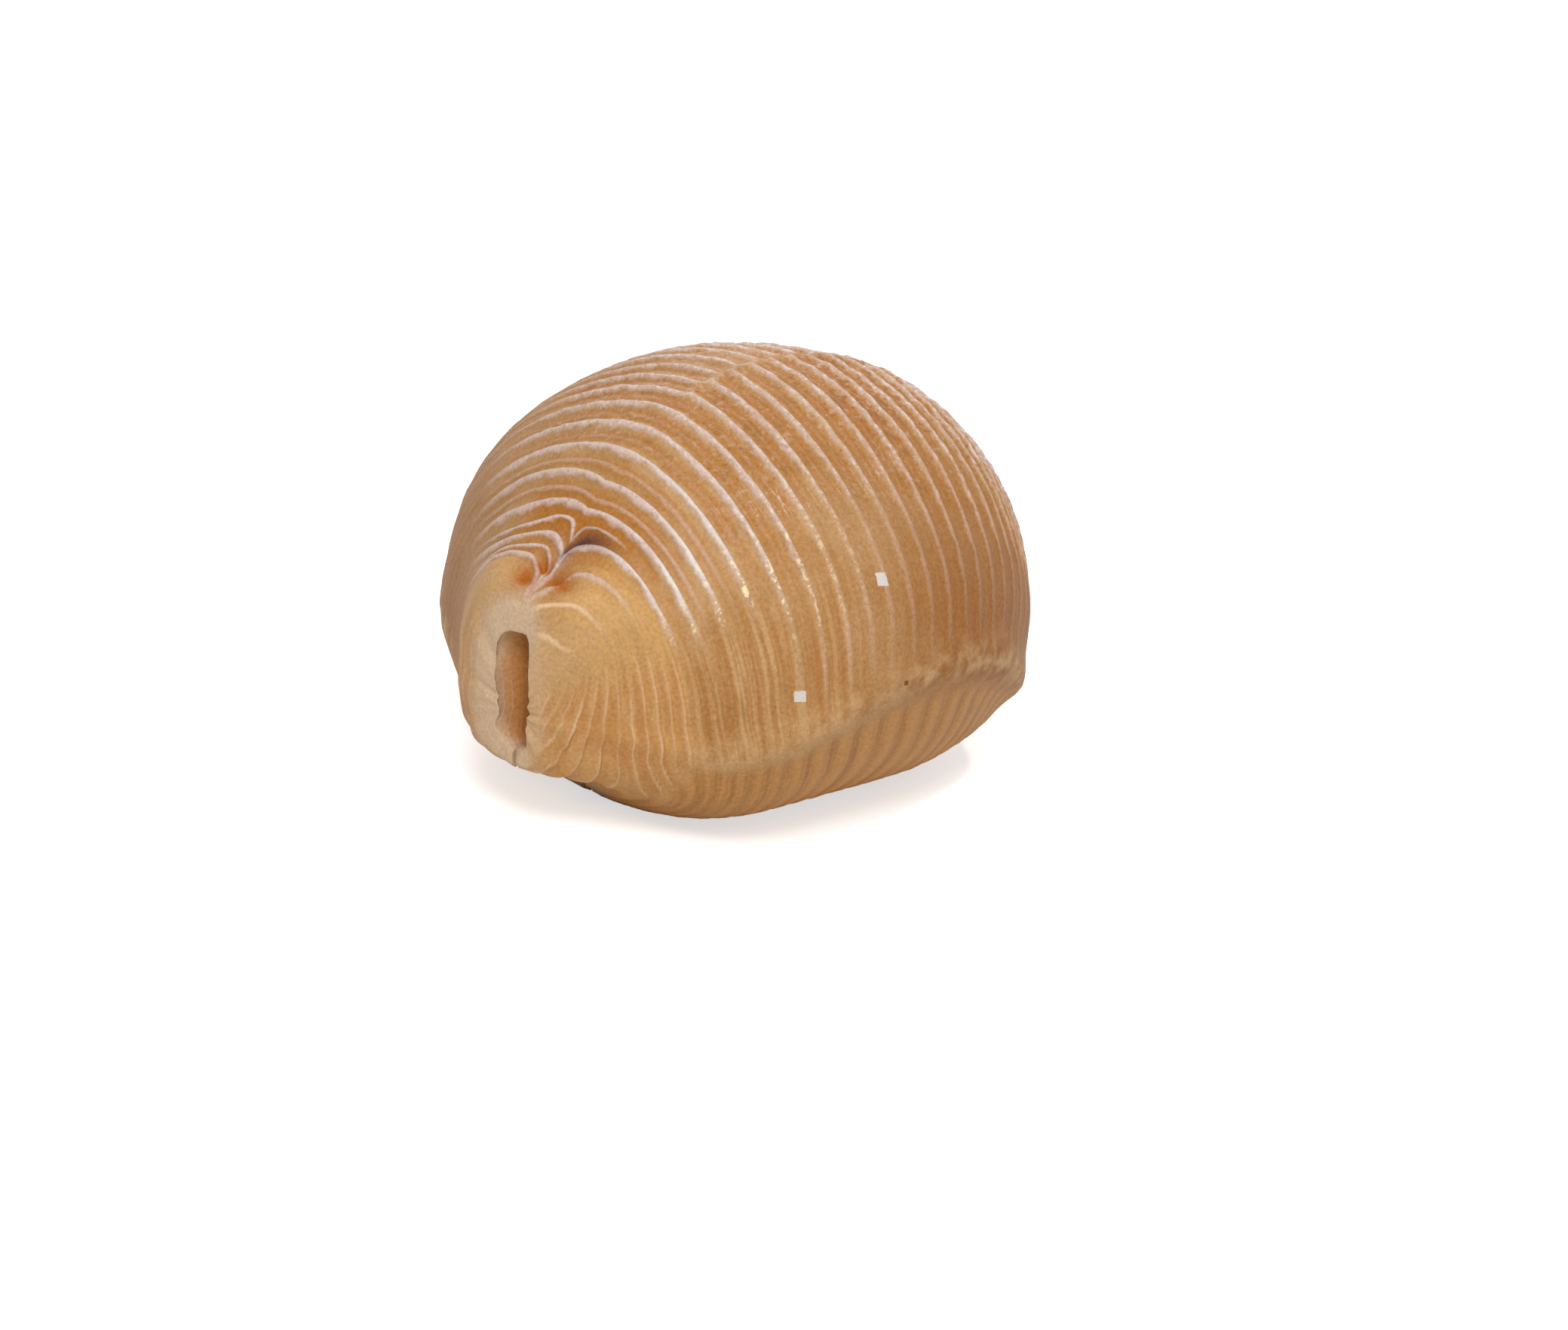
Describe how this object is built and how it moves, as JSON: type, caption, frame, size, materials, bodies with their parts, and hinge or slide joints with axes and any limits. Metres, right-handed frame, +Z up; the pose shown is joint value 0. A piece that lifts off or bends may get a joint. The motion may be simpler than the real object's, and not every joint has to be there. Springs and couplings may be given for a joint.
{
  "type": "cowrie shell",
  "caption": "Hollow, egg-shaped seashell with ribs running round it, a toothed slit along its flat base and a short open canal at each end; decorative natural specimen.",
  "frame": {"origin": "middle of the bounding box, on the surface that the base rests on", "axes": "+X from the hind canal (beside the hidden spire) to the front canal, -Y towards the outer lip, +Z up from the base to the back"},
  "size_m": [0.0206, 0.015, 0.0118],
  "materials": {
    "shell": "satin, tan aragonite with pale ribs"
  },
  "bodies": {
    "root": {"shell": "shell"}
  },
  "joints": []
}
